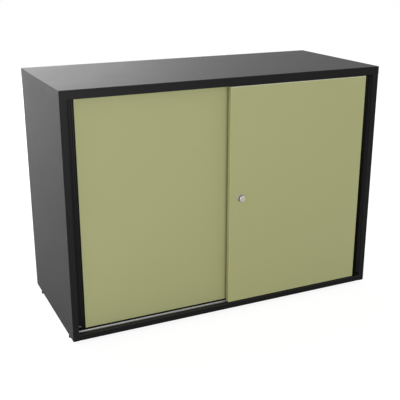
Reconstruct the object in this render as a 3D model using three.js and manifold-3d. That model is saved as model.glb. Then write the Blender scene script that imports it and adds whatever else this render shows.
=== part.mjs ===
// Sliding door cabinet, in millimetres, +Z up, standing on the floor at z = 0.
// Black boards make the casing, and two olive doors roll on ribbed tracks let into its base.
import * as THREE from "three";
import { mergeVertices } from "three/addons/utils/BufferGeometryUtils.js";
import Module from "manifold-3d";

const wasm = await Module();
wasm.setup();

// Casing boards, measured over their outside faces
const casing_width = 1000;
const casing_depth = 431;
const casing_height = 713.5;
const top_thickness = 25;
const board_thickness = 18;
const edge_round = 1;

// Gaps: glued boards, loose pieces, and round pieces in their holes
const glue_gap = 0.1;
const slip_gap = 0.3;
const pin_gap = 0.25;

// Back panel, held in a groove all round
const back_thickness = 8;
const back_groove_depth = 8;
const back_margin = 10;

// Shelf on four pegs, with rows of holes to move it up or down
const shelf_thickness = 18;
const shelf_setback = 19;
const shelf_side_gap = 2.5;
const shelf_back_gap = 2;
const peg_from_shelf_edge = 37;
const peg_hole_radius = 2.5;
const peg_hole_depth = 11;
const peg_hole_pitch = 32;
const peg_holes_beside_shelf = 3;
const peg_collar_radius = 4;
const peg_collar_thickness = 1.5;
const peg_stub_radius = 3;
const peg_stub_length = 8;
const shelf_height_share = 0.5;

// Doors, each with a grip profile along its outer edge
const door_thickness = 16;
const door_bottom_gap = 3.7;
const door_top_gap = 1.5;
const door_side_gap = 16;
const door_overlap = 18;
const grip_width = 11.5;
const grip_lip = 1.6;
const grip_scoop_depth = 2.6;
const passing_gap = 2.5;

// Track in the base: a flat bar with a rib that the rollers run on
const track_width = 14;
const track_thickness = 2;
const track_end_gap = 1;
const rib_width = 3;
const rib_height = 2;
const rib_side_gap = 0.4;

// Grooved rollers in their housings, behind the doors' lower edges
const roller_tread_radius = 7;
const roller_flange_height = 1.2;
const roller_width = 5.6;
const roller_side_gap = 0.4;
const axle_radius = 2;
const axle_end_gap = 0.2;
const housing_front_wall = 1.2;
const housing_rear_wall = 1.8;
const housing_width = 46;
const housing_above_axle = 22;
const housing_corner_round = 5;
const housing_foot_gap = 3;
const pocket_gap = 0.8;
const roller_from_edge = 60;
const screw_hole_radius = 1.8;
const screw_from_edge = 6;

// Channel under the top, with sprung guide pins that run in it
const channel_width = 10;
const channel_height = 9;
const channel_wall = 1.5;
const pin_side_gap = 0.5;
const pin_reach = 5.5;
const pin_tip_round = 1;
const guide_width = 30;
const guide_height = 34;
const guide_drop = 4;
const guide_from_edge = 25;
const knob_radius = 4;
const knob_length = 6;
const stop_foot_gap = 1;

// Push lock near the front door's inner edge
const lock_from_edge = 38.5;
const lock_stands_out = 9;
const lock_cylinder_radius = 9.4;
const lock_sleeve_wall = 1.2;
const lock_flange_radius = 12.5;
const lock_flange_thickness = 1.5;
const lock_back_wall = 2;
const lock_back_stand = 3.5;
const lock_bolt_radius = 4;
const lock_bolt_stand = 0.5;
const lock_passing_gap = 1;
const lock_nut_radius = 15;
const lock_nut_thickness = 3;
const plug_radius = 6;
const plug_depth = 4;
const plug_tip_round = 0.5;
const key_slot_width = 1.4;
const key_slot_length = 8;
const key_slot_depth = 3;

// Levelling feet, screwed into sleeves in the side panels' lower edges
const foot_height = 11.5;
const foot_radius = 8;
const foot_neck_radius = 6.4;
const foot_sole_height = 4;
const foot_from_end = 54;
const stud_radius = 3.8;
const stud_length = 20;
const sleeve_wall = 1.4;
const sleeve_length = 34;

// Counts of facets
const round_facets = 32;
const small_facets = 16;
const corner_steps = 4;
const edge_steps = 2;

// Room that every cutting tool runs past the piece it cuts
const overrun = 5;

// Places worked out from the sizes above
const opening_width = casing_width - 2 * board_thickness;
const side_height = casing_height - top_thickness;
const front = -casing_depth / 2;
const back_front = casing_depth / 2 - back_margin - back_thickness;
const fitting_depth = housing_front_wall + roller_side_gap * 2 + roller_width + housing_rear_wall;
const door_pitch = door_thickness + glue_gap + fitting_depth + passing_gap;
const door_width = (opening_width - 2 * door_side_gap + door_overlap) / 2;
const door_height = side_height - board_thickness - door_bottom_gap - door_top_gap;
const door_bottom = board_thickness + door_bottom_gap;
const door_x = (door_width - door_overlap) / 2;
const rib_in_fitting = housing_front_wall + roller_side_gap + roller_width / 2;
const rib_behind_face = door_thickness + glue_gap + rib_in_fitting;
const axle_above_door_bottom = rib_height + slip_gap + roller_tread_radius - door_bottom_gap;
const channel_slot = channel_width - 2 * channel_wall;
const pin_radius = channel_slot / 2 - pin_side_gap;

const black_board = new THREE.MeshStandardMaterial({ color: 0x2b2b2c, roughness: 0.55, metalness: 0 });
const olive_board = new THREE.MeshStandardMaterial({ color: 0xa2a57a, roughness: 0.6, metalness: 0 });
const black_plastic = new THREE.MeshStandardMaterial({ color: 0x161617, roughness: 0.4, metalness: 0 });
const grey_plastic = new THREE.MeshStandardMaterial({ color: 0x8b8d8f, roughness: 0.5, metalness: 0 });
const white_nylon = new THREE.MeshStandardMaterial({ color: 0xe6e4dc, roughness: 0.45, metalness: 0 });
const aluminium = new THREE.MeshStandardMaterial({ color: 0xc4c5c6, roughness: 0.35, metalness: 1 });
const nickel = new THREE.MeshStandardMaterial({ color: 0xc9c6bc, roughness: 0.25, metalness: 1 });
const steel = new THREE.MeshStandardMaterial({ color: 0x9a9c9e, roughness: 0.3, metalness: 1 });

const along_x = new THREE.Vector3(1, 0, 0);
const along_y = new THREE.Vector3(0, 1, 0);
const along_z = new THREE.Vector3(0, 0, 1);
const into_front = new THREE.Vector3(0, -1, 0);

// Merges shared corners and drops triangles that have no area
function weld(geometry) {
  geometry.deleteAttribute("normal");
  geometry.deleteAttribute("uv");
  const merged = mergeVertices(geometry);
  const corners = merged.index.array;
  const kept = [];
  for (let i = 0; i < corners.length; i += 3) {
    const [a, b, c] = [corners[i], corners[i + 1], corners[i + 2]];
    if (a !== b && b !== c && c !== a) kept.push(a, b, c);
  }
  merged.setIndex(kept);
  return merged;
}

function solid_of(geometry) {
  const welded = weld(geometry);
  const places = new Float32Array(welded.attributes.position.array);
  const corners = new Uint32Array(welded.index.array);
  return new wasm.Manifold(new wasm.Mesh({ numProp: 3, vertProperties: places, triVerts: corners }));
}

// Takes every tool away from the body
function cut(body, tools) {
  let solid = solid_of(body);
  for (const tool of tools) solid = solid.subtract(solid_of(tool));
  const mesh = solid.getMesh();
  const geometry = new THREE.BufferGeometry();
  geometry.setAttribute("position", new THREE.BufferAttribute(mesh.vertProperties, 3));
  geometry.setIndex(new THREE.BufferAttribute(mesh.triVerts, 1));
  geometry.computeVertexNormals();
  return geometry;
}

function rectangle(width, height) {
  const shape = new THREE.Shape();
  shape.moveTo(-width / 2, -height / 2);
  shape.lineTo(width / 2, -height / 2);
  shape.lineTo(width / 2, height / 2);
  shape.lineTo(-width / 2, height / 2);
  return shape;
}

// A board with its thickness along z and all edges of both faces rounded
function board(width, height, thickness) {
  const outline = rectangle(width - 2 * edge_round, height - 2 * edge_round);
  const body = new THREE.ExtrudeGeometry(outline, {
    depth: thickness - 2 * edge_round,
    bevelSize: edge_round,
    bevelThickness: edge_round,
    bevelSegments: edge_steps,
  });
  return body.translate(0, 0, edge_round - thickness / 2);
}

// An outline of x and y drawn out along z, from zero
function drawn(outline, length) {
  return new THREE.ExtrudeGeometry(outline, { depth: length, bevelEnabled: false, curveSegments: corner_steps });
}

// Turns an outline's x and y to y and z, with its length along x
function lie_along_x(geometry) {
  return geometry.applyMatrix4(new THREE.Matrix4().makeBasis(along_y, along_z, along_x));
}

// Turns an outline's x and y to x and z, with its length towards the front
function face_front(geometry) {
  return geometry.applyMatrix4(new THREE.Matrix4().makeBasis(along_x, along_z, into_front));
}

// A block between two corners
function block(x0, x1, y0, y1, z0, z1) {
  const box = new THREE.BoxGeometry(x1 - x0, y1 - y0, z1 - z0);
  return box.translate((x0 + x1) / 2, (y0 + y1) / 2, (z0 + z1) / 2);
}

// A round tool or pin between two heights on the y axis
function rod(radius, y0, y1, facets) {
  const cylinder = new THREE.CylinderGeometry(radius, radius, y1 - y0, facets);
  return cylinder.translate(0, (y0 + y1) / 2, 0);
}

// A turned piece about the y axis, from pairs of radius and height
function turned(pairs, facets) {
  const profile = pairs.map(([radius, height]) => new THREE.Vector2(radius, height));
  return new THREE.LatheGeometry(profile, facets);
}

function ring_profile(pairs) {
  return [...pairs, pairs[0]];
}

function upright(geometry) {
  return geometry.rotateX(Math.PI / 2);
}

function place(parent, name, geometry, material, x, y, z) {
  const mesh = new THREE.Mesh(geometry, material);
  mesh.name = name;
  mesh.position.set(x, y, z);
  parent.add(mesh);
}

const ends = [["left", -1], ["right", 1]];
const depths = [["front", -1], ["rear", 1]];
const foot_y = casing_depth / 2 - foot_from_end;
const shelf_front = front + 2 * door_pitch + shelf_setback;
const shelf_rear = back_front - shelf_back_gap;
const peg_height = board_thickness + (side_height - board_thickness) * shelf_height_share;
const peg_places = [["front", shelf_front + peg_from_shelf_edge], ["rear", shelf_rear - peg_from_shelf_edge]];
const sleeve_radius = stud_radius + 2 * pin_gap + sleeve_wall;

// Side panel: groove for the back, rows of peg holes, and a hole for each foot's sleeve
function side_panel(hand) {
  const panel = board(casing_depth, side_height - glue_gap, board_thickness);
  lie_along_x(panel).translate(0, 0, (side_height - glue_gap) / 2);
  const inside = -hand * board_thickness / 2;
  const groove_floor = inside + hand * back_groove_depth;
  const mouth = inside - hand * overrun;
  const tools = [block(Math.min(groove_floor, mouth), Math.max(groove_floor, mouth),
    back_front - slip_gap, back_front + back_thickness + slip_gap,
    board_thickness - back_groove_depth, side_height + overrun)];
  for (const [, y] of peg_places) {
    for (let i = -peg_holes_beside_shelf; i <= peg_holes_beside_shelf; i += 1) {
      const hole = rod(peg_hole_radius, -overrun, peg_hole_depth, small_facets).rotateZ(-hand * Math.PI / 2);
      tools.push(hole.translate(inside, y, peg_height + i * peg_hole_pitch));
    }
  }
  for (const [, end] of depths) {
    const seat = upright(rod(sleeve_radius + pin_gap, -overrun, sleeve_length + slip_gap, small_facets));
    tools.push(seat.translate(0, end * foot_y, 0));
  }
  return cut(panel, tools);
}

// Top panel: grooves for the two guide channels and for the back
function top_panel() {
  const panel = board(casing_width, casing_depth, top_thickness).translate(0, 0, top_thickness / 2);
  const half = opening_width / 2;
  const half_groove = channel_width / 2 + slip_gap;
  const tools = [];
  for (const door of [0, 1]) {
    const y = front + door * door_pitch + rib_behind_face;
    tools.push(block(-half, half, y - half_groove, y + half_groove, -overrun, channel_height + slip_gap));
  }
  const reach = half + back_groove_depth;
  tools.push(block(-reach, reach, back_front - slip_gap, back_front + back_thickness + slip_gap,
    -overrun, back_groove_depth));
  return cut(panel, tools);
}

// Base panel: grooves for the two tracks and for the back
function base_panel() {
  const width = opening_width - 2 * glue_gap;
  const panel = board(width, casing_depth, board_thickness).translate(0, 0, board_thickness / 2);
  const half = width / 2 + overrun;
  const half_groove = track_width / 2 + slip_gap;
  const high = board_thickness + overrun;
  const tools = [];
  for (const door of [0, 1]) {
    const y = front + door * door_pitch + rib_behind_face;
    const floor = board_thickness - track_thickness - slip_gap;
    tools.push(block(-half, half, y - half_groove, y + half_groove, floor, high));
  }
  tools.push(block(-half, half, back_front - slip_gap, back_front + back_thickness + slip_gap,
    board_thickness - back_groove_depth, high));
  return cut(panel, tools);
}

function back_panel() {
  const width = opening_width + 2 * (back_groove_depth - slip_gap);
  const height = side_height - board_thickness + 2 * (back_groove_depth - slip_gap);
  return face_front(drawn(rectangle(width, height), back_thickness)).translate(0, back_thickness, height / 2);
}

// Peg for the shelf, turned, with a collar that stops it at the panel's face
function shelf_peg() {
  const shank = peg_hole_radius - pin_gap;
  return turned([
    [0, -peg_hole_depth + slip_gap * 2],
    [shank, -peg_hole_depth + slip_gap * 2],
    [shank, slip_gap],
    [peg_collar_radius, slip_gap],
    [peg_collar_radius, slip_gap + peg_collar_thickness],
    [peg_stub_radius, slip_gap + peg_collar_thickness],
    [peg_stub_radius, slip_gap + peg_collar_thickness + peg_stub_length],
    [0, slip_gap + peg_collar_thickness + peg_stub_length],
  ], small_facets);
}

// Track: a flat bar, flush with the base, and a round-topped rib along its middle
function track() {
  const half = track_width / 2;
  const rib = rib_width / 2;
  const shape = new THREE.Shape();
  shape.moveTo(-half, -track_thickness);
  shape.lineTo(half, -track_thickness);
  shape.lineTo(half, 0);
  shape.lineTo(rib, 0);
  shape.lineTo(rib, rib_height - rib);
  shape.absellipse(0, rib_height - rib, rib, rib, 0, Math.PI, false, 0);
  shape.lineTo(-rib, 0);
  shape.lineTo(-half, 0);
  return lie_along_x(drawn(shape, opening_width - 2 * track_end_gap));
}

// Channel: an upturned trough, flush with the top panel's underside
function channel() {
  const half = channel_width / 2;
  const slot = channel_slot / 2;
  const shape = new THREE.Shape();
  shape.moveTo(-half, 0);
  shape.lineTo(-slot, 0);
  shape.lineTo(-slot, channel_height - channel_wall);
  shape.lineTo(slot, channel_height - channel_wall);
  shape.lineTo(slot, 0);
  shape.lineTo(half, 0);
  shape.lineTo(half, channel_height);
  shape.lineTo(-half, channel_height);
  return lie_along_x(drawn(shape, opening_width - 2 * track_end_gap));
}

const stop_length = door_side_gap + guide_from_edge - pin_radius - track_end_gap - slip_gap;

// Stop: a plug in each end of a channel, which the guide pin meets
function channel_stop() {
  const half = channel_slot / 2 - slip_gap;
  const ceiling = channel_height - channel_wall - slip_gap;
  return block(-stop_length / 2, stop_length / 2, -half, half, stop_foot_gap, ceiling);
}

// Foot: a stepped sole and a stud, turned in one
function foot() {
  return upright(turned([
    [0, -foot_height],
    [foot_radius, -foot_height],
    [foot_radius, foot_sole_height - foot_height],
    [foot_neck_radius, foot_sole_height - foot_height + (foot_radius - foot_neck_radius)],
    [foot_neck_radius, -slip_gap],
    [stud_radius, -slip_gap],
    [stud_radius, stud_length],
    [0, stud_length],
  ], small_facets));
}

// Sleeve that the foot's stud screws into
function foot_sleeve() {
  const bore = stud_radius + 2 * pin_gap;
  return upright(turned(ring_profile([
    [bore, 0],
    [sleeve_radius, 0],
    [sleeve_radius, sleeve_length],
    [bore, sleeve_length],
  ]), small_facets));
}

// Door board, standing, with its face at y = 0 and its lower edge at z = 0
function door_panel(width) {
  return face_front(board(width, door_height, door_thickness)).translate(0, door_thickness / 2, door_height / 2);
}

// Grip profile: a shallow scoop between two lips, drawn along the door's height
function grip(hand) {
  const half = grip_width / 2;
  const scoop = half - grip_lip;
  const shape = new THREE.Shape();
  shape.moveTo(-half, 0);
  shape.lineTo(-scoop, 0);
  shape.quadraticCurveTo(-hand * scoop / 2, 2 * grip_scoop_depth, scoop, 0);
  shape.lineTo(half, 0);
  shape.lineTo(half, door_thickness);
  shape.lineTo(-half, door_thickness);
  return new THREE.ExtrudeGeometry(shape, { depth: door_height, bevelEnabled: false, curveSegments: corner_steps * 2 });
}

const roller_flange_radius = roller_tread_radius + roller_flange_height;

// Roller: two flanges with a groove between them that straddles the rib
function roller() {
  const half = roller_width / 2;
  const groove = rib_width / 2 + rib_side_gap;
  const bore = axle_radius + pin_gap;
  return turned(ring_profile([
    [bore, -half],
    [roller_flange_radius, -half],
    [roller_flange_radius, -groove],
    [roller_tread_radius, -groove],
    [roller_tread_radius, groove],
    [roller_flange_radius, groove],
    [roller_flange_radius, half],
    [bore, half],
  ]), round_facets);
}

// Housing outline about the axle: square at the foot, rounded at the top
function housing_outline() {
  const half = housing_width / 2;
  const low = housing_foot_gap - roller_flange_radius;
  const high = housing_above_axle;
  const r = housing_corner_round;
  const shape = new THREE.Shape();
  shape.moveTo(-half, low);
  shape.lineTo(half, low);
  shape.lineTo(half, high - r);
  shape.absarc(half - r, high - r, r, 0, Math.PI / 2, false);
  shape.absarc(-half + r, high - r, r, Math.PI / 2, Math.PI, false);
  return shape;
}

// Roller housing: a pocket open below, an axle hole and two screw holes
function roller_housing() {
  const body = face_front(drawn(housing_outline(), fitting_depth)).translate(0, fitting_depth, 0);
  const pocket = roller_flange_radius + pocket_gap;
  const y0 = housing_front_wall;
  const y1 = fitting_depth - housing_rear_wall;
  const tools = [
    block(-pocket, pocket, y0, y1, -roller_flange_radius - overrun, 0),
    rod(pocket, y0, y1, round_facets),
    rod(axle_radius + pin_gap, -overrun, fitting_depth + overrun, small_facets),
  ];
  for (const [, hand] of ends) {
    const x = hand * (housing_width / 2 - screw_from_edge);
    const z = housing_above_axle - screw_from_edge;
    tools.push(rod(screw_hole_radius, -overrun, fitting_depth + overrun, small_facets).translate(x, 0, z));
  }
  return cut(body, tools);
}

function axle() {
  return rod(axle_radius, axle_end_gap, fitting_depth - axle_end_gap, small_facets);
}

const guide_bore = pin_radius + pin_gap * 2;

// Guide housing: a block bored upright for its pin, in line with the channel, with two screw holes
function guide_housing() {
  const body = face_front(board(guide_width, guide_height, fitting_depth)).translate(0, fitting_depth / 2, 0);
  const half = guide_height / 2 + overrun;
  const tools = [upright(rod(guide_bore, -half, half, small_facets)).translate(0, rib_in_fitting, 0)];
  for (const [, hand] of ends) {
    const x = hand * (guide_width / 2 - screw_from_edge);
    tools.push(rod(screw_hole_radius, -overrun, fitting_depth + overrun, small_facets).translate(x, 0, 0));
  }
  return cut(body, tools);
}

const guide_top = door_height - guide_drop;
const pin_top = door_height + door_top_gap + pin_reach;
const pin_length = pin_top - (guide_top - guide_height - slip_gap);

// Guide pin: a knob below the housing, a shank through it and a rounded tip
function guide_pin() {
  return upright(turned([
    [0, -knob_length],
    [knob_radius, -knob_length],
    [knob_radius, 0],
    [pin_radius, 0],
    [pin_radius, pin_length - pin_tip_round],
    [pin_radius - pin_tip_round, pin_length],
    [0, pin_length],
  ], small_facets));
}

const lock_bore = lock_cylinder_radius + pin_gap;
const lock_sleeve_radius = lock_bore + lock_sleeve_wall;
const lock_back = door_thickness + lock_back_stand;
const bolt_tip = lock_back + lock_bolt_stand;
const lock_stroke = door_pitch - bolt_tip - lock_passing_gap;
const cylinder_back = lock_back - lock_back_wall - slip_gap - lock_stroke;

// Lock housing: a flange on the door's face and a sleeve through it, closed but for the bolt's hole
function lock_housing() {
  return turned(ring_profile([
    [lock_bore, -lock_flange_thickness - glue_gap],
    [lock_flange_radius, -lock_flange_thickness - glue_gap],
    [lock_flange_radius, -glue_gap],
    [lock_sleeve_radius, -glue_gap],
    [lock_sleeve_radius, lock_back],
    [lock_bolt_radius + pin_gap, lock_back],
    [lock_bolt_radius + pin_gap, lock_back - lock_back_wall],
    [lock_bore, lock_back - lock_back_wall],
  ]), round_facets);
}

function lock_nut() {
  const y = door_thickness + glue_gap;
  return turned(ring_profile([
    [lock_sleeve_radius + pin_gap, y],
    [lock_nut_radius, y],
    [lock_nut_radius, y + lock_nut_thickness],
    [lock_sleeve_radius + pin_gap, y + lock_nut_thickness],
  ]), round_facets);
}

// Cylinder: pushed in to lock, with the bolt as its nose and a hollow for the key plug
function lock_cylinder() {
  const face = -lock_stands_out;
  const floor = face + plug_depth + slip_gap;
  return turned([
    [0, floor],
    [plug_radius + pin_gap, floor],
    [plug_radius + pin_gap, face],
    [lock_cylinder_radius - plug_tip_round, face],
    [lock_cylinder_radius, face + plug_tip_round],
    [lock_cylinder_radius, cylinder_back],
    [lock_bolt_radius, cylinder_back],
    [lock_bolt_radius, bolt_tip],
    [0, bolt_tip],
  ], round_facets);
}

// Key plug, with an upright slot for the key
function key_plug() {
  const body = rod(plug_radius, 0, plug_depth, round_facets);
  const half_width = key_slot_width / 2;
  const half_length = key_slot_length / 2;
  return cut(body, [block(-half_width, half_width, -overrun, key_slot_depth, -half_length, half_length)]);
}

function add_casing(casing) {
  const side_x = casing_width / 2 - board_thickness / 2;
  place(casing, "top_panel", top_panel(), black_board, 0, 0, side_height);
  place(casing, "base_panel", base_panel(), black_board, 0, 0, 0);
  place(casing, "back_panel", back_panel(), black_board, 0, back_front,
    board_thickness - back_groove_depth + slip_gap);
  for (const [name, hand] of ends) {
    place(casing, "side_panel_" + name, side_panel(hand), black_board, hand * side_x, 0, 0);
    for (const [end, turn] of depths) {
      const where = end + "_" + name;
      place(casing, "foot_" + where, foot(), black_plastic, hand * side_x, turn * foot_y, 0);
      place(casing, "foot_sleeve_" + where, foot_sleeve(), steel, hand * side_x, turn * foot_y, 0);
    }
  }
}

function add_shelf(casing) {
  const width = opening_width - 2 * shelf_side_gap;
  const depth = shelf_rear - shelf_front;
  const z = peg_height + peg_stub_radius + slip_gap + shelf_thickness / 2;
  place(casing, "shelf", board(width, depth, shelf_thickness), black_board, 0, (shelf_front + shelf_rear) / 2, z);
  for (const [name, hand] of ends) {
    for (const [end, y] of peg_places) {
      const peg = shelf_peg().rotateZ(hand * Math.PI / 2);
      place(casing, "shelf_peg_" + end + "_" + name, peg, nickel, hand * opening_width / 2, y, peg_height);
    }
  }
}

function add_running_gear(casing) {
  const start = -opening_width / 2 + track_end_gap;
  const stop_x = -start - stop_length / 2;
  depths.forEach(([name], door) => {
    const y = front + door * door_pitch + rib_behind_face;
    place(casing, name + "_track", track(), aluminium, start, y, board_thickness);
    place(casing, name + "_top_channel", channel(), black_plastic, start, y, side_height);
    for (const [end, hand] of ends) {
      place(casing, name + "_channel_stop_" + end, channel_stop(), white_nylon, hand * stop_x, y, side_height);
    }
  });
}

// One door with its board, grip, two rollers below and two guides above
function make_door(name, hand) {
  const door = new THREE.Group();
  const board_width = door_width - grip_width - glue_gap;
  const panel_x = -hand * (door_width - board_width) / 2;
  const holes = [];
  if (name === "front") {
    const hole = rod(lock_sleeve_radius + pin_gap, -overrun, door_thickness + overrun, round_facets);
    holes.push(hole.translate(lock_from_edge - door_width / 2 - panel_x, 0, door_height / 2));
  }
  place(door, name + "_door_panel", cut(door_panel(board_width), holes), olive_board, panel_x, 0, 0);
  place(door, name + "_door_grip", grip(hand), black_plastic, hand * (door_width - grip_width) / 2, 0, 0);
  const behind = door_thickness + glue_gap;
  for (const [end, side] of ends) {
    const roller_x = side * (door_width / 2 - roller_from_edge);
    const guide_x = side * (door_width / 2 - guide_from_edge);
    const axle_z = axle_above_door_bottom;
    place(door, name + "_roller_housing_" + end, roller_housing(), grey_plastic, roller_x, behind, axle_z);
    place(door, name + "_roller_" + end, roller(), white_nylon, roller_x, rib_behind_face, axle_z);
    place(door, name + "_roller_axle_" + end, axle(), steel, roller_x, behind, axle_z);
    place(door, name + "_guide_housing_" + end, guide_housing(), grey_plastic, guide_x, behind,
      guide_top - guide_height / 2);
    place(door, name + "_guide_pin_" + end, guide_pin(), white_nylon, guide_x, rib_behind_face,
      guide_top - guide_height - slip_gap);
  }
  return door;
}

function add_lock(door) {
  const x = lock_from_edge - door_width / 2;
  const z = door_height / 2;
  place(door, "lock_housing", lock_housing(), nickel, x, 0, z);
  place(door, "lock_nut", lock_nut(), steel, x, 0, z);
  place(door, "lock_cylinder", lock_cylinder(), nickel, x, 0, z);
  place(door, "lock_key_plug", key_plug(), nickel, x, -lock_stands_out, z);
}

function make_cabinet() {
  const cabinet = new THREE.Group();
  const casing = new THREE.Group();
  casing.position.set(0, lock_stands_out / 2, foot_height);
  cabinet.add(casing);
  add_casing(casing);
  add_shelf(casing);
  add_running_gear(casing);
  const front_door = make_door("front", 1);
  front_door.position.set(door_x, front, door_bottom);
  add_lock(front_door);
  const rear_door = make_door("rear", -1);
  rear_door.position.set(-door_x, front + door_pitch, door_bottom);
  casing.add(front_door, rear_door);
  return cabinet;
}

export default make_cabinet();
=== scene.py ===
import math

import bmesh
import bpy
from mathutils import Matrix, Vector


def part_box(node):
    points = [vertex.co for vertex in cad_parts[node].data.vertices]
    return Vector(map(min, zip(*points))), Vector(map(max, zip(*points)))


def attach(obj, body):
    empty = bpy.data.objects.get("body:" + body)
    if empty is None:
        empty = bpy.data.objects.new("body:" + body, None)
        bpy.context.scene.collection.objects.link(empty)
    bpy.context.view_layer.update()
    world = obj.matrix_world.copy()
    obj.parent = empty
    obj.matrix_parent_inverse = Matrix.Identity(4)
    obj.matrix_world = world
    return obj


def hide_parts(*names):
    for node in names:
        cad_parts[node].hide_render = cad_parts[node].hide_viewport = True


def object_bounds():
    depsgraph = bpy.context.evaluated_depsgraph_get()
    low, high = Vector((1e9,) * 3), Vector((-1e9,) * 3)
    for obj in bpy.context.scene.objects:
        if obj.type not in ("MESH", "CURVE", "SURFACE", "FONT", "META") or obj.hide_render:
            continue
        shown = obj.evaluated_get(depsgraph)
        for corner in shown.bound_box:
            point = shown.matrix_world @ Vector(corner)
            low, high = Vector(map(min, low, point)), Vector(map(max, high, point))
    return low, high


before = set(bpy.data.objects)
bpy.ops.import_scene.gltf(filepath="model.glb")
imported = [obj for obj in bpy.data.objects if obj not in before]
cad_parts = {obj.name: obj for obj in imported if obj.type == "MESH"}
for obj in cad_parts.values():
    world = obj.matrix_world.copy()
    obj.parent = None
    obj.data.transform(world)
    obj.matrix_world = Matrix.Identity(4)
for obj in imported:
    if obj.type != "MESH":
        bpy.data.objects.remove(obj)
cad_low, cad_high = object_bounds()

# Camera. It stands left of the cabinet and a little above its top, and looks down past the
# front left corner. A long lens keeps the boards' edges nearly parallel.
eye = Vector((-0.9674, -2.0470, 1.0585))
heading = math.radians(25.148)
tilt = math.radians(18.519)
focal_length = 66.83
film_width = 36
lens = bpy.data.cameras.new("camera")
lens.lens = focal_length
lens.sensor_width = film_width
camera = bpy.data.objects.new("camera", lens)
camera.location = eye
camera.rotation_euler = (math.radians(90) - tilt, 0, -heading)
bpy.context.scene.collection.objects.link(camera)
bpy.context.scene.camera = camera
bpy.context.scene.view_settings.view_transform = "Standard"


# Studio: an even white room, and a pale floor that keeps the cabinet's soft shadow. The camera
# and glossy surfaces see the room as plain white. The camera sees the floor mostly as a white
# glow, so that its shadow is faint.
class Tone:
    """A number that changes over a surface. Adding or multiplying tones adds Math nodes."""

    def __init__(self, tree, socket):
        self.tree = tree
        self.socket = socket

    def joined(self, operation, first, second):
        node = self.tree.nodes.new("ShaderNodeMath")
        node.operation = operation
        for place, term in enumerate((first, second)):
            if isinstance(term, Tone):
                self.tree.links.new(term.socket, node.inputs[place])
            else:
                node.inputs[place].default_value = term
        return Tone(self.tree, node.outputs[0])

    def __add__(self, other):
        return self.joined("ADD", self, other)

    def __sub__(self, other):
        return self.joined("SUBTRACT", self, other)

    def __rsub__(self, other):
        return self.joined("SUBTRACT", other, self)

    def __mul__(self, other):
        return self.joined("MULTIPLY", self, other)

    def least(self, other):
        return self.joined("MINIMUM", self, other)

    def most(self, other):
        return self.joined("MAXIMUM", self, other)

    __radd__ = __add__
    __rmul__ = __mul__


class Nodes:
    """A tree of nodes, and one way to add a node to it."""

    def __init__(self, tree):
        self.tree = tree

    def node(self, kind, settings, sockets, result=0):
        """Adds a node: its settings first, then its sockets' values or links. Gives one result."""
        node = self.tree.nodes.new(kind)
        for name, setting in settings.items():
            setattr(node, name, setting)
        self.fill(node, sockets)
        return Tone(self.tree, self.socket(node.outputs, result))

    def socket(self, sockets, name):
        if isinstance(name, int):
            return sockets[name]
        return next(s for s in sockets if name in (s.identifier, s.name))

    def fill(self, node, sockets):
        for name, value in sockets.items():
            socket = self.socket(node.inputs, name)
            if isinstance(value, Tone):
                self.tree.links.new(value.socket, socket)
            else:
                socket.default_value = value


class Finish(Nodes):
    """The nodes of one material, or of the room."""

    def __init__(self, owner):
        owner.use_nodes = True
        super().__init__(owner.node_tree)
        self.owner = owner

    def dress(self, sockets):
        """Fills the sockets of the material's surface."""
        self.fill(self.tree.nodes["Principled BSDF"], sockets)


def seen(finish, in_gloss):
    """1 where the camera looks, and in_gloss where a glossy or clear surface does."""
    share = finish.node("ShaderNodeLightPath", {}, {}, "Is Camera Ray")
    for ray in ("Is Glossy Ray", "Is Transmission Ray"):
        share = share + in_gloss * finish.node("ShaderNodeLightPath", {}, {}, ray)
    return share


plain_white = (1, 1, 1, 1)
room_level = 0.45
room = Finish(bpy.data.worlds.new("room"))
bpy.context.scene.world = room.owner
room.fill(room.tree.nodes["Background"], {
    "Color": plain_white,
    "Strength": room_level + (1 - room_level) * seen(room, 1),
})

floor_half = 30
floor_tone = (0.82, 0.82, 0.82, 1)
floor_roughness = 0.9
floor_lift = 0.72
floor_glow = 1.24
floor_in_gloss = 0.1
floor_mesh = bpy.data.meshes.new("floor")
corners = [(x * floor_half, y * floor_half, 0) for x, y in ((-1, -1), (1, -1), (1, 1), (-1, 1))]
floor_mesh.from_pydata(corners, [], [range(len(corners))])
floor = bpy.data.objects.new("floor", floor_mesh)
bpy.context.scene.collection.objects.link(floor)
paint = Finish(bpy.data.materials.new("floor"))
paint.dress({"Base Color": floor_tone, "Roughness": floor_roughness, "Specular IOR Level": 0})
matt = Tone(paint.tree, paint.tree.nodes["Principled BSDF"].outputs[0])
glow = paint.node("ShaderNodeEmission", {}, {"Color": plain_white, "Strength": floor_glow})
lift = floor_lift * seen(paint, floor_in_gloss)
mixed = paint.node("ShaderNodeMixShader", {}, {"Fac": lift, 1: matt, 2: glow})
paint.fill(paint.tree.nodes["Material Output"], {"Surface": mixed})
floor_mesh.materials.append(paint.owner)


# Lamps: wide soft ones, aimed at the cabinet's middle and not seen themselves. Those behind it
# are the stronger, and give the top and the left side their sheen.
middle = (cad_low + cad_high) / 2


def soft_lamp(name, place, width, height, power):
    lamp = bpy.data.lights.new(name, "AREA")
    lamp.shape = "RECTANGLE"
    lamp.size = width
    lamp.size_y = height
    lamp.energy = power
    holder = bpy.data.objects.new(name, lamp)
    holder.location = place
    holder.rotation_euler = (middle - Vector(place)).to_track_quat("-Z", "Y").to_euler()
    holder.visible_camera = False
    bpy.context.scene.collection.objects.link(holder)


soft_lamp("front_lamp", (-0.8, -4.6, 0.7), width=3, height=1.2, power=105)
soft_lamp("rear_low_lamp", (-1.4, 3.6, 0.9), width=3, height=1.4, power=56)
soft_lamp("rear_high_lamp", (-1.4, 3.6, 2.4), width=3, height=1.4, power=197)
soft_lamp("rear_middle_lamp", (0.4, 4.2, 1.6), width=2, height=1.6, power=73)


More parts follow.
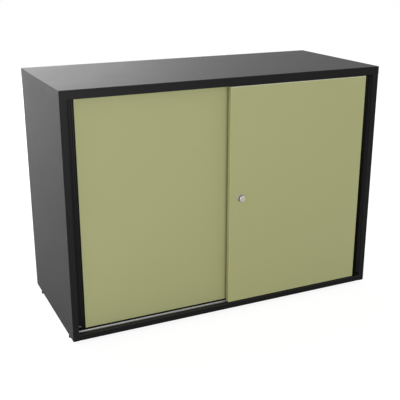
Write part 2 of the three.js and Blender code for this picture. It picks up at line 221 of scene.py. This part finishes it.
# Casing boards and shelf: chipboard with a black melamine face on both sides and thin bands
# glued along the edges. Dowels and glue join them, so no fixing shows. The grooves and peg
# holes are cut after facing, and show the raw board.
mm = 0.001
raw_depth = (0.45 * mm, 0.6 * mm)
raw_dark = (0.25, 0.17, 0.1, 1)
raw_pale = (0.5, 0.38, 0.24, 1)
raw_roughness = 0.9
chip_scale = 420
chip_height = 4
face_depth = 0.05 * mm
pearl_scale = 850
pearl_depth = 0.06 * mm
pearl_gloss = 0.05
cloud_scale = 7
cloud_gloss = 0.1
band_roughness = 0.45
line_cover = 0.55
line_clouding = 0.6
black_face = (0.0055, 0.0055, 0.0057, 1)
black_band = (0.0045, 0.0045, 0.0047, 1)
# The line colour is a painted highlight: a lighter line along the upper edges, where the rounded edges
# would catch the light.
black_painted_highlight = (0.02, 0.02, 0.021, 1)
black_reach = (0.9 * mm, 1.7 * mm)


def noise(finish, place, scale, detail, roughness=0.5):
    return finish.node("ShaderNodeTexNoise", {}, {
        "Vector": place, "Scale": scale, "Detail": detail, "Roughness": roughness})


def between(finish, share, first, second):
    """A colour between two others."""
    return finish.node("ShaderNodeMix", {"data_type": "RGBA"}, {
        "Factor_Float": share, "A_Color": first, "B_Color": second}, "Result_Color")


def relief(finish, height, depth, strength):
    """A pattern pressed into the surface, as deep as depth."""
    return finish.node("ShaderNodeBump", {}, {
        "Strength": strength, "Distance": depth, "Height": height})


def dress_node(node, material):
    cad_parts[node].data.materials.clear()
    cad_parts[node].data.materials.append(material)


def faced_board(node, face, banding, line, reach, roughness, level, coat):
    """Dresses a board: coated faces, bands, a painted highlight along its upper edges, raw core in its
    cuts.
    """
    low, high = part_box(node)
    finish = Finish(bpy.data.materials.new(node))
    place = finish.node("ShaderNodeTexCoord", {}, {}, "Object")
    offset = finish.node("ShaderNodeVectorMath", {"operation": "SUBTRACT"}, {
        0: place, 1: (low + high) / 2})
    aside = finish.node("ShaderNodeVectorMath", {"operation": "ABSOLUTE"}, {0: offset})
    depth = finish.node("ShaderNodeVectorMath", {"operation": "SUBTRACT"}, {
        0: (high - low) / 2, 1: aside})
    x, y, z = [finish.node("ShaderNodeSeparateXYZ", {}, {"Vector": depth}, axis) for axis in "XYZ"]
    nearest = x.least(y).least(z)
    second = x + y + z - nearest - x.most(y).most(z)
    raw = finish.node("ShaderNodeMapRange", {}, {
        "Value": nearest, "From Min": raw_depth[0], "From Max": raw_depth[1]})

    # A board that faces the front is coated in front and behind, and banded all round. Any
    # other is banded at its front and rear edges, and coated elsewhere.
    faces_front = high.y - low.y < min(high.x - low.x, high.z - low.z)
    inwards = "LESS_THAN" if faces_front else "GREATER_THAN"
    faced = finish.node("ShaderNodeMath", {"operation": inwards}, {0: y, 1: face_depth})
    rise = finish.node("ShaderNodeSeparateXYZ", {}, {"Vector": offset}, "Z")
    # The line is a painted highlight, laid only on edges in the board's upper half, where the rounded
    # edges would catch the light.
    upper = finish.node("ShaderNodeMath", {"operation": "GREATER_THAN"}, {0: rise, 1: 0})
    near_edge = finish.node("ShaderNodeMapRange", {}, {
        "Value": second.most(z), "From Min": reach[0], "From Max": reach[1],
        "To Min": 1, "To Max": 0})

    pearl = noise(finish, place, pearl_scale, detail=3)
    cloud = noise(finish, place, cloud_scale, detail=4, roughness=0.6)
    chips = noise(finish, place, chip_scale, detail=5, roughness=0.7)
    skin = between(finish, faced, banding, face)
    skin = between(finish, upper * near_edge * (line_cover + line_clouding * cloud), skin, line)
    core = between(finish, chips, raw_dark, raw_pale)
    gloss = band_roughness + (roughness - band_roughness) * faced
    gloss = gloss + cloud_gloss * (cloud - 0.5) + pearl_gloss * (pearl - 0.5)
    height = pearl * (1 - raw) + chip_height * chips * raw
    finish.dress({
        "Base Color": between(finish, raw, skin, core),
        "Roughness": gloss + raw * (raw_roughness - roughness),
        "Specular IOR Level": level,
        "Coat Weight": coat * faced,
        "Coat Roughness": roughness,
        "Normal": relief(finish, height, pearl_depth, strength=0.12),
    })
    dress_node(node, finish.owner)


for node in ("top_panel", "base_panel", "back_panel", "side_panel_left", "side_panel_right", "shelf"):
    faced_board(node, black_face, black_band, black_painted_highlight, black_reach,
                roughness=0.75, level=0.15, coat=0.4)


# Doors: thinner board with an olive face. The bands are painted lighter, as painted light on the doors'
# lit left edges, and a painted highlight runs along their upper edges. The front one is bored for the
# lock.
olive_face = (0.345, 0.35, 0.167, 1)
# The bands' lighter olive is painted light, and the line colour is a painted highlight.
olive_band_painted_light = (0.49, 0.497, 0.237, 1)
olive_painted_highlight = (0.56, 0.575, 0.44, 1)
olive_reach = (1.2 * mm, 2.4 * mm)
for node in ("front_door_panel", "rear_door_panel"):
    faced_board(node, olive_face, olive_band_painted_light, olive_painted_highlight, olive_reach,
                roughness=0.55, level=0.2, coat=0.2)


# Grips: a black profile on each door's outer edge, with a scoop for the fingertips. It is
# extruded, so faint die lines run up it. The two grips are lit and shaded copies of one
# profile: the front door's is painted darker and duller, as painted shade.
die_line_depth = 0.05 * mm
die_line_gloss = 0.16
grip_roughness = 0.34
grip_lines = (1400, 1400, 2.5)


def tinted(colour, factor):
    """A colour made darker or lighter."""
    return [min(1, factor * part) for part in colour] + [1]


def drawn_finish(name, colour, stretch, roughness, metallic, level, strength):
    """A finish with fine lines along the way that a profile was drawn or extruded."""
    finish = Finish(bpy.data.materials.new(name))
    place = finish.node("ShaderNodeTexCoord", {}, {}, "Object")
    place = finish.node("ShaderNodeMapping", {}, {"Vector": place, "Scale": stretch})
    lines = noise(finish, place, 1, detail=4, roughness=0.65)
    finish.dress({
        "Base Color": between(finish, lines, tinted(colour, 0.8), tinted(colour, 1.2)),
        "Metallic": metallic,
        "Specular IOR Level": level,
        "Roughness": roughness + die_line_gloss * (lines - 0.5),
        "Normal": relief(finish, lines, die_line_depth, strength),
    })
    return finish.owner


# The front grip's darker colour and lower gloss are painted shade.
for door, shade, level in (("front", 0.001, 0.04), ("rear", 0.003, 0.24)):
    extruded = drawn_finish(door + "_grip", (shade, shade, shade), grip_lines, grip_roughness,
                            metallic=0, level=level, strength=0.1)
    dress_node(door + "_door_grip", extruded)


# Tracks: anodised aluminium bars let flush into the base, each with a rounded rib that the
# rollers straddle.
track_lines = (2.5, 1600, 1600)
drawn_aluminium = drawn_finish("drawn_aluminium", (0.39, 0.395, 0.425), track_lines,
                               roughness=0.5, metallic=1, level=0.5, strength=0.15)
for door in ("front", "rear"):
    dress_node(door + "_track", drawn_aluminium)


# Top channels: black plastic troughs pressed into the top panel's underside, in which the
# guide pins run.
channel_lines = (2.5, 1300, 1300)
channel_black = drawn_finish("channel_black", (0.0095, 0.0095, 0.01), channel_lines,
                             roughness=0.45, metallic=0, level=0.3, strength=0.1)
for door in ("front", "rear"):
    dress_node(door + "_top_channel", channel_black)


# Roller and guide housings: moulded grey plastic, screwed to the doors' backs. The nylon
# stops in the channels' ends are moulded too.
spark_depth = 0.04 * mm
spark_gloss = 0.12
mould_cloud_scale = 60
mould_cloud_gloss = 0.08


def moulded_finish(name, colour, roughness, level, grain):
    """Moulded plastic with the fine spark grain of its mould and slight clouding."""
    finish = Finish(bpy.data.materials.new(name))
    place = finish.node("ShaderNodeTexCoord", {}, {}, "Object")
    spark = noise(finish, place, grain, detail=2)
    cloud = noise(finish, place, mould_cloud_scale, detail=3)
    gloss = roughness + spark_gloss * (spark - 0.5) + mould_cloud_gloss * (cloud - 0.5)
    finish.dress({
        "Base Color": between(finish, cloud, tinted(colour, 0.88), tinted(colour, 1.1)),
        "Roughness": gloss,
        "Specular IOR Level": level,
        "Normal": relief(finish, spark, spark_depth, strength=0.2),
    })
    return finish.owner


moulded_grey = moulded_finish("moulded_grey", (0.26, 0.266, 0.275), 0.5, level=0.5, grain=2200)
nylon = moulded_finish("nylon", (0.79, 0.775, 0.715), 0.42, level=0.5, grain=1500)
ends = ("left", "right")
for door in ("front", "rear"):
    for end in ends:
        dress_node(f"{door}_roller_housing_{end}", moulded_grey)
        dress_node(f"{door}_guide_housing_{end}", moulded_grey)
        dress_node(f"{door}_channel_stop_{end}", nylon)


# Rollers: turned nylon with a groove that straddles the rib, a hub and a thin web. Each
# runs on its own axle in its housing's pocket.
weld = 0.001 * mm
crease = math.radians(25)


def turned(name, foot, along, outline, facets, rounding):
    """A piece turned about a line from foot, from pairs of radius and distance along it."""
    work = bmesh.new()
    aside = along.orthogonal().normalized()
    ring = [work.verts.new(foot + aside * radius + along * distance) for radius, distance in outline]
    edges = [work.edges.new(pair) for pair in zip(ring, ring[1:])]
    bmesh.ops.spin(work, geom=ring + edges, cent=foot, axis=along, angle=math.tau, steps=facets)
    bmesh.ops.remove_doubles(work, verts=work.verts, dist=weld)
    bmesh.ops.recalc_face_normals(work, faces=work.faces)
    sharp = [edge for edge in work.edges if edge.is_manifold and edge.calc_face_angle() > crease]
    bmesh.ops.bevel(work, geom=sharp, offset=rounding, segments=2, profile=0.5, affect="EDGES",
                    clamp_overlap=True)
    return finished(name, work)


def finished(name, work):
    """Makes an object of a worked mesh, smooth where it is round."""
    mesh = bpy.data.meshes.new(name)
    work.to_mesh(mesh)
    work.free()
    mesh.shade_smooth()
    piece = bpy.data.objects.new(name, mesh)
    bpy.context.scene.collection.objects.link(piece)
    piece.modifiers.new("flat faces stay flat", "WEIGHTED_NORMAL").keep_sharp = True
    return piece


def fit(piece, node, body, material):
    """A piece takes its node's place, on the node's body."""
    piece.data.materials.append(material)
    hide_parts(node)
    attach(piece, body)


back = Vector((0, 1, 0))
up = Vector((0, 0, 1))
fine_facets = 72
small_facets = fine_facets // 2
notched_facets = 2 * fine_facets
roller_lip = 0.25 * mm
roller_hub = 3.6 * mm
roller_rim = 5.9 * mm
roller_web = 0.8 * mm
roller_rounding = 0.15 * mm
groove_half = 1.9 * mm
tread_radius = 7 * mm
axle_bore = 2.25 * mm
for door in ("front", "rear"):
    for end in ends:
        node = f"{door}_roller_{end}"
        low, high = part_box(node)
        half = (high.y - low.y) / 2
        flange = (high.z - low.z) / 2
        side = [(axle_bore, half), (roller_hub, half), (roller_hub, half - roller_web),
                (roller_rim, half - roller_web), (roller_rim, half), (flange, half),
                (flange, groove_half + roller_lip), (tread_radius, groove_half)]
        outline = side + [(radius, -y) for radius, y in reversed(side)] + side[:1]
        centre = (low + high) / 2
        roller = turned(node + "_turned", centre, back, outline, fine_facets, roller_rounding)
        fit(roller, node, node, nylon)


# Axles: plain steel rods, zinc plated and chamfered, pressed through the housings. The lock's
# nut and the sleeves in the side panels have the same plating.
axle_chamfer = 0.3 * mm
plating_cloud_scale = 140
plating_cloud_gloss = 0.1
scratch_scale = 3000
scratch_depth = 0.02 * mm


def plated_finish(name, colour, roughness):
    """Bright plating, with slight clouds of tint and fine random scratches in its gloss."""
    finish = Finish(bpy.data.materials.new(name))
    place = finish.node("ShaderNodeTexCoord", {}, {}, "Object")
    cloud = noise(finish, place, plating_cloud_scale, detail=4)
    scratches = noise(finish, place, scratch_scale, detail=2)
    finish.dress({
        "Base Color": between(finish, cloud, tinted(colour, 0.86), tinted(colour, 1.12)),
        "Metallic": 1,
        "Roughness": roughness + plating_cloud_gloss * (cloud - 0.5),
        "Normal": relief(finish, scratches, scratch_depth, strength=0.08),
    })
    return finish.owner


zinc = plated_finish("zinc", (0.5, 0.51, 0.53), 0.3)
for door in ("front", "rear"):
    for end in ends:
        node = f"{door}_roller_axle_{end}"
        low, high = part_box(node)
        half = (high.y - low.y) / 2
        radius = (high.z - low.z) / 2
        outline = [(0, -half), (radius, -half), (radius, half), (0, half)]
        rod = turned(node + "_rod", (low + high) / 2, back, outline, small_facets, axle_chamfer)
        fit(rod, node, door + "_door", zinc)


# Guide pins: nylon, sprung upwards in their housings, with a knob below to draw them down
# and a rounded tip that runs in the channel.
knob_height = 6 * mm
knob_waist = 0.6 * mm
waist_foot = 1.8 * mm
waist_middle = 3 * mm
waist_head = 4.2 * mm
pin_shank = 3 * mm
pin_tip = 1 * mm
pin_rounding = 0.3 * mm
for door in ("front", "rear"):
    for end in ends:
        node = f"{door}_guide_pin_{end}"
        low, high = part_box(node)
        knob = (high.x - low.x) / 2
        length = high.z - low.z
        foot = Vector(((low.x + high.x) / 2, (low.y + high.y) / 2, low.z))
        outline = [(0, 0), (knob, 0), (knob, waist_foot), (knob - knob_waist, waist_middle),
                   (knob, waist_head), (knob, knob_height), (pin_shank, knob_height),
                   (pin_shank, length - pin_tip), (pin_shank - pin_tip, length), (0, length)]
        pin = turned(node + "_turned", foot, up, outline, small_facets, pin_rounding)
        fit(pin, node, node, nylon)


# Shelf pegs: nickel plated, pushed into the side panels' holes, with a collar against the
# panel and a stub under the shelf.
nickel = plated_finish("nickel", (0.75, 0.73, 0.65), 0.3)
peg_shank = 2.25 * mm
peg_collar = 4 * mm
peg_collar_width = 1.5 * mm
peg_stub = 3 * mm
peg_stub_length = 8 * mm
peg_rounding = 0.25 * mm
for depth in ("front", "rear"):
    for end, hand in (("left", 1), ("right", -1)):
        node = f"shelf_peg_{depth}_{end}"
        low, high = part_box(node)
        inner = high.x if hand > 0 else low.x
        length = high.x - low.x
        foot = Vector((inner, (low.y + high.y) / 2, (low.z + high.z) / 2))
        outwards = Vector((-hand, 0, 0))
        outline = [(0, 0), (peg_stub, 0), (peg_stub, peg_stub_length), (peg_collar, peg_stub_length),
                   (peg_collar, peg_stub_length + peg_collar_width),
                   (peg_shank, peg_stub_length + peg_collar_width), (peg_shank, length), (0, length)]
        peg = turned(node + "_turned", foot, outwards, outline, small_facets, peg_rounding)
        fit(peg, node, "casing", nickel)


# Push lock: a nickel plated housing through the front door, held by a ring nut behind it. The
# cylinder slides in it and carries the key plug. Its face is polished, and its side is
# painted darker, as painted shade on its shaded side.
door_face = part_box("front_door_panel")[0].y
housing_low, housing_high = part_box("lock_housing")
lock_x = (housing_low.x + housing_high.x) / 2
lock_z = (housing_low.z + housing_high.z) / 2
lock_line = Vector((lock_x, 0, lock_z))
flange_radius = (housing_high.z - housing_low.z) / 2
flange_slope = 1.2 * mm
flange_rim = 0.4 * mm
flange_gap = 0.1 * mm
flange_front = housing_low.y
flange_seat = door_face - flange_gap
housing_back = housing_high.y
housing_bore = 9.65 * mm
housing_rounding = 0.15 * mm
sleeve_radius = 10.85 * mm
back_wall = 2 * mm
bolt_bore = 4.25 * mm
satin = plated_finish("satin_nickel", (0.42, 0.41, 0.36), 0.5)
housing_outline = [
    (housing_bore, flange_front), (flange_radius - flange_slope, flange_front),
    (flange_radius, flange_seat - flange_rim), (flange_radius, flange_seat),
    (sleeve_radius, flange_seat), (sleeve_radius, housing_back), (bolt_bore, housing_back),
    (bolt_bore, housing_back - back_wall), (housing_bore, housing_back - back_wall),
    (housing_bore, flange_front)]
housing = turned("lock_housing_turned", lock_line, back, housing_outline, fine_facets, housing_rounding)
fit(housing, "lock_housing", "front_door", satin)

low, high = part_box("lock_cylinder")
barrel_radius = (high.z - low.z) / 2
barrel_reach = 10.2 * mm
barrel_back = door_face + barrel_reach
barrel_rounding = 0.12 * mm
face_rim = 0.7 * mm
side_steepness = 0.3
bolt_radius = 4 * mm
bolt_chamfer = 0.5 * mm
plug_low, plug_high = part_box("lock_key_plug")
plug_radius = (plug_high.z - plug_low.z) / 2
plug_rounding = 0.15 * mm
plug_clearance = 0.25 * mm
plug_end_gap = 0.3 * mm
seat_radius = plug_radius + plug_clearance
seat_floor = plug_high.y + plug_end_gap
barrel_outline = [
    (0, seat_floor), (seat_radius, seat_floor), (seat_radius, low.y),
    (barrel_radius - face_rim, low.y), (barrel_radius, low.y + face_rim),
    (barrel_radius, barrel_back), (bolt_radius, barrel_back),
    (bolt_radius, high.y - bolt_chamfer), (bolt_radius - bolt_chamfer, high.y), (0, high.y)]
barrel = turned("lock_cylinder_turned", lock_line, back, barrel_outline, fine_facets, barrel_rounding)
fit(barrel, "lock_cylinder", "lock_cylinder", nickel)
# The cylinder's side gets a darker copy of the plating, as painted shade.
barrel.data.materials.append(plated_finish("barrel_side_painted_shade", (0.27, 0.263, 0.24), 0.5))
for strip in barrel.data.polygons:
    strip.material_index = 1 if abs(strip.normal.y) < side_steepness else 0


def block(name, size, centre):
    """A plain block, such as a lip or a cutter."""
    work = bmesh.new()
    bmesh.ops.create_cube(work, size=1)
    bmesh.ops.scale(work, verts=work.verts, vec=size)
    bmesh.ops.translate(work, verts=work.verts, vec=centre)
    return finished(name, work)


def carved(piece, cutter):
    """Takes a cutter out of a piece for good, and clears the cutter away."""
    carve = piece.modifiers.new("carve", "BOOLEAN")
    carve.object = cutter
    carve.solver = "EXACT"
    bpy.context.view_layer.update()
    whole = piece.evaluated_get(bpy.context.evaluated_depsgraph_get())
    mesh = bpy.data.meshes.new_from_object(whole)
    if mesh.has_custom_normals:
        mesh.attributes.remove(mesh.attributes["custom_normal"])
    mesh.set_sharp_from_angle(angle=crease)
    piece.modifiers.remove(carve)
    piece.data = mesh
    bpy.data.objects.remove(cutter)
    return piece


# The key slot's cutter stands half out of the plug's face.
slot_width = 1.4 * mm
slot_length = 8 * mm
slot_depth = 3 * mm
plug_outline = [
    (0, plug_low.y), (plug_radius, plug_low.y), (plug_radius, plug_high.y), (0, plug_high.y)]
plug = turned("lock_key_plug_turned", lock_line, back, plug_outline, fine_facets, plug_rounding)
slot_size = (slot_width, 2 * slot_depth, slot_length)
plug = carved(plug, block("key_slot", slot_size, (lock_x, plug_low.y, lock_z)))
fit(plug, "lock_key_plug", "lock_key_plug", nickel)


def notched(piece, centre, along, radius, count, depth):
    """Presses every other strip of a round rim inwards, as a grip for the fingers."""
    for vertex in piece.data.vertices:
        offset = vertex.co - centre
        offset -= along * offset.dot(along)
        if offset.length > radius:
            angle = math.atan2(offset.dot(along.orthogonal()), offset.dot(along.cross(along.orthogonal())))
            if math.cos(count * angle) > 0:
                vertex.co -= offset.normalized() * depth
    return piece


low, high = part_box("lock_nut")
nut_radius = (high.z - low.z) / 2
nut_clearance = 0.25 * mm
nut_bore = sleeve_radius + nut_clearance
nut_rounding = 0.2 * mm
nut_notches = 24
nut_notch_depth = 0.5 * mm
rim_depth = 0.5 * mm
nut_outline = [(nut_bore, low.y), (nut_radius, low.y), (nut_radius, high.y), (nut_bore, high.y),
               (nut_bore, low.y)]
nut = turned("lock_nut_turned", lock_line, back, nut_outline, notched_facets, nut_rounding)
notched(nut, lock_line, back, nut_radius - rim_depth, nut_notches, nut_notch_depth)
fit(nut, "lock_nut", "front_door", zinc)


# Levelling feet: black plastic, a notched sole on a threaded stud that screws up into a zinc
# plated sleeve in the side panel's lower edge.
foot_black = moulded_finish("foot_black", (0.0097, 0.0097, 0.0103), 0.45, level=0.3, grain=1800)
sole_height = 4 * mm
sole_rounding = 0.4 * mm
sole_notches = 18
sole_notch_depth = 0.45 * mm
neck_radius = 6.4 * mm
stud_radius = 3.8 * mm
stud_start = 11.2 * mm
thread_pitch = 1.25 * mm
thread_depth = 0.55 * mm
thread_steps = 8
thread_facets = 24


def threaded(work, foot, radius, length):
    """Adds a screwed stud that stands on foot, with a helical ridge and closed ends."""
    rows = round(length / thread_pitch * thread_steps)
    rings = []
    for row in range(rows + 1):
        height = length * row / rows
        ring = []
        for step in range(thread_facets):
            turn = step / thread_facets
            ridge = abs(((height / thread_pitch - turn) % 1) * 2 - 1)
            reach = radius - thread_depth * (1 - ridge)
            angle = math.tau * turn
            offset = Vector((reach * math.cos(angle), reach * math.sin(angle), height))
            ring.append(work.verts.new(foot + offset))
        rings.append(ring)
    for lower, upper in zip(rings, rings[1:]):
        for step in range(thread_facets):
            after = (step + 1) % thread_facets
            work.faces.new((lower[step], lower[after], upper[after], upper[step]))
    work.faces.new(list(reversed(rings[0])))
    work.faces.new(rings[-1])


for depth in ("front", "rear"):
    for end in ends:
        node = f"foot_{depth}_{end}"
        low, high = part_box(node)
        foot = Vector(((low.x + high.x) / 2, (low.y + high.y) / 2, low.z))
        sole_radius = (high.x - low.x) / 2
        outline = [(0, 0), (sole_radius, 0), (sole_radius, sole_height),
                   (neck_radius, sole_height + sole_radius - neck_radius),
                   (neck_radius, stud_start), (0, stud_start)]
        sole = turned(node + "_turned", foot, up, outline, notched_facets, sole_rounding)
        notched(sole, foot, up, sole_radius - rim_depth, sole_notches, sole_notch_depth)
        work = bmesh.new()
        work.from_mesh(sole.data)
        threaded(work, foot + up * stud_start, stud_radius, high.z - low.z - stud_start)
        work.to_mesh(sole.data)
        work.free()
        sole.data.shade_smooth()
        fit(sole, node, node, foot_black)
        dress_node(f"foot_sleeve_{depth}_{end}", zinc)


# Closing lips: a thin soft black lip along each grip's outer edge, which closes the gap to
# the side panel when the door is shut. It ends above the tracks, whose ends show below it.
soft_black = moulded_finish("soft_black", (0.002, 0.002, 0.0021), 0.4, level=0.12, grain=1600)
lip_thickness = 1.2 * mm
lip_root = 1 * mm
lip_clearance = 1.5 * mm
lip_top = 1 * mm
lip_foot = 10 * mm
for door, hand in (("front", 1), ("rear", -1)):
    low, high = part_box(door + "_door_grip")
    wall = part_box("side_panel_right")[0].x if hand > 0 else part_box("side_panel_left")[1].x
    root = (high.x if hand > 0 else low.x) - hand * lip_root
    tip = wall - hand * lip_clearance
    top = high.z - lip_top
    foot = low.z + lip_foot
    size = (abs(tip - root), lip_thickness, top - foot)
    centre = ((tip + root) / 2, low.y + lip_thickness, (top + foot) / 2)
    lip = block(door + "_closing_lip", size, centre)
    lip.data.materials.append(soft_black)
    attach(lip, door + "_door")


# Screws: zinc plated, with a low coned head and a cross recess. Two hold each roller housing
# and each guide housing to its door.
screw_sizes = {
    "Head radius": 2.9 * mm,
    "Head height": 1.5 * mm,
    "Recess width": 0.9 * mm,
    "Recess span": 3.6 * mm,
    "Recess depth": 0.8 * mm,
}
screw_top_share = 0.72
screw_facets = 28
screw_seed = 4
screw_inset = 6 * mm


def screw_tree():
    """A node tree that sets one screw head on each point, facing the back, each turned its own way."""
    tree = bpy.data.node_groups.new("screws", "GeometryNodeTree")
    tree.interface.new_socket("Geometry", in_out="INPUT", socket_type="NodeSocketGeometry")
    for name in screw_sizes:
        tree.interface.new_socket(name, in_out="INPUT", socket_type="NodeSocketFloat")
    tree.interface.new_socket("Material", in_out="INPUT", socket_type="NodeSocketMaterial")
    tree.interface.new_socket("Geometry", in_out="OUTPUT", socket_type="NodeSocketGeometry")
    nodes = Nodes(tree)
    given = {socket.name: Tone(tree, socket) for socket in tree.nodes.new("NodeGroupInput").outputs}
    head = nodes.node("GeometryNodeMeshCone", {}, {
        "Vertices": screw_facets, "Radius Top": given["Head radius"] * screw_top_share,
        "Radius Bottom": given["Head radius"], "Depth": given["Head height"]}, "Mesh")
    carve = nodes.node("GeometryNodeMeshBoolean", {"operation": "DIFFERENCE"}, {"Mesh 1": head}, "Mesh")
    lift = nodes.node("ShaderNodeCombineXYZ", {}, {"Z": given["Head height"]}, "Vector")
    # The recess is cut by two crossed arms, each half out of the head's top.
    for first, second in (("X", "Y"), ("Y", "X")):
        size = nodes.node("ShaderNodeCombineXYZ", {}, {
            first: given["Recess width"], second: given["Recess span"],
            "Z": 2 * given["Recess depth"]}, "Vector")
        arm = nodes.node("GeometryNodeMeshCube", {}, {"Size": size}, "Mesh")
        arm = nodes.node("GeometryNodeTransform", {}, {"Geometry": arm, "Translation": lift})
        nodes.fill(carve.socket.node, {"Mesh 2": arm})
    spread = nodes.node("GeometryNodeInstanceOnPoints", {}, {
        "Points": given["Geometry"], "Instance": carve, "Rotation": (math.radians(-90), 0, 0)})
    turn = nodes.node("FunctionNodeRandomValue", {"data_type": "FLOAT_VECTOR"}, {
        "Min": (0, 0, 0), "Max": (0, 0, math.radians(90)), "Seed": screw_seed}, "Value")
    spun = nodes.node("GeometryNodeRotateInstances", {}, {"Instances": spread, "Rotation": turn})
    real = nodes.node("GeometryNodeRealizeInstances", {}, {"Geometry": spun})
    dressed = nodes.node("GeometryNodeSetMaterial", {}, {
        "Geometry": real, "Material": given["Material"]})
    nodes.fill(tree.nodes.new("NodeGroupOutput"), {"Geometry": dressed})
    return tree


screws = screw_tree()
screw_inputs = {**screw_sizes, "Material": zinc}
for door in ("front", "rear"):
    places = []
    for end in ends:
        for kind in ("roller", "guide"):
            low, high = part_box(f"{door}_{kind}_housing_{end}")
            height = high.z - screw_inset if kind == "roller" else (low.z + high.z) / 2
            places += [(x, high.y, height) for x in (low.x + screw_inset, high.x - screw_inset)]
    mesh = bpy.data.meshes.new(door + "_housing_screws")
    mesh.from_pydata(places, [], [])
    heads = bpy.data.objects.new(door + "_housing_screws", mesh)
    bpy.context.scene.collection.objects.link(heads)
    modifier = heads.modifiers.new("screws", "NODES")
    modifier.node_group = screws
    for item in screws.interface.items_tree:
        if item.in_out == "INPUT" and item.name in screw_inputs:
            modifier[item.identifier] = screw_inputs[item.name]
    bpy.context.view_layer.update()
    whole = heads.evaluated_get(bpy.context.evaluated_depsgraph_get())
    heads.data = bpy.data.meshes.new_from_object(whole)
    heads.modifiers.remove(modifier)
    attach(heads, door + "_door")
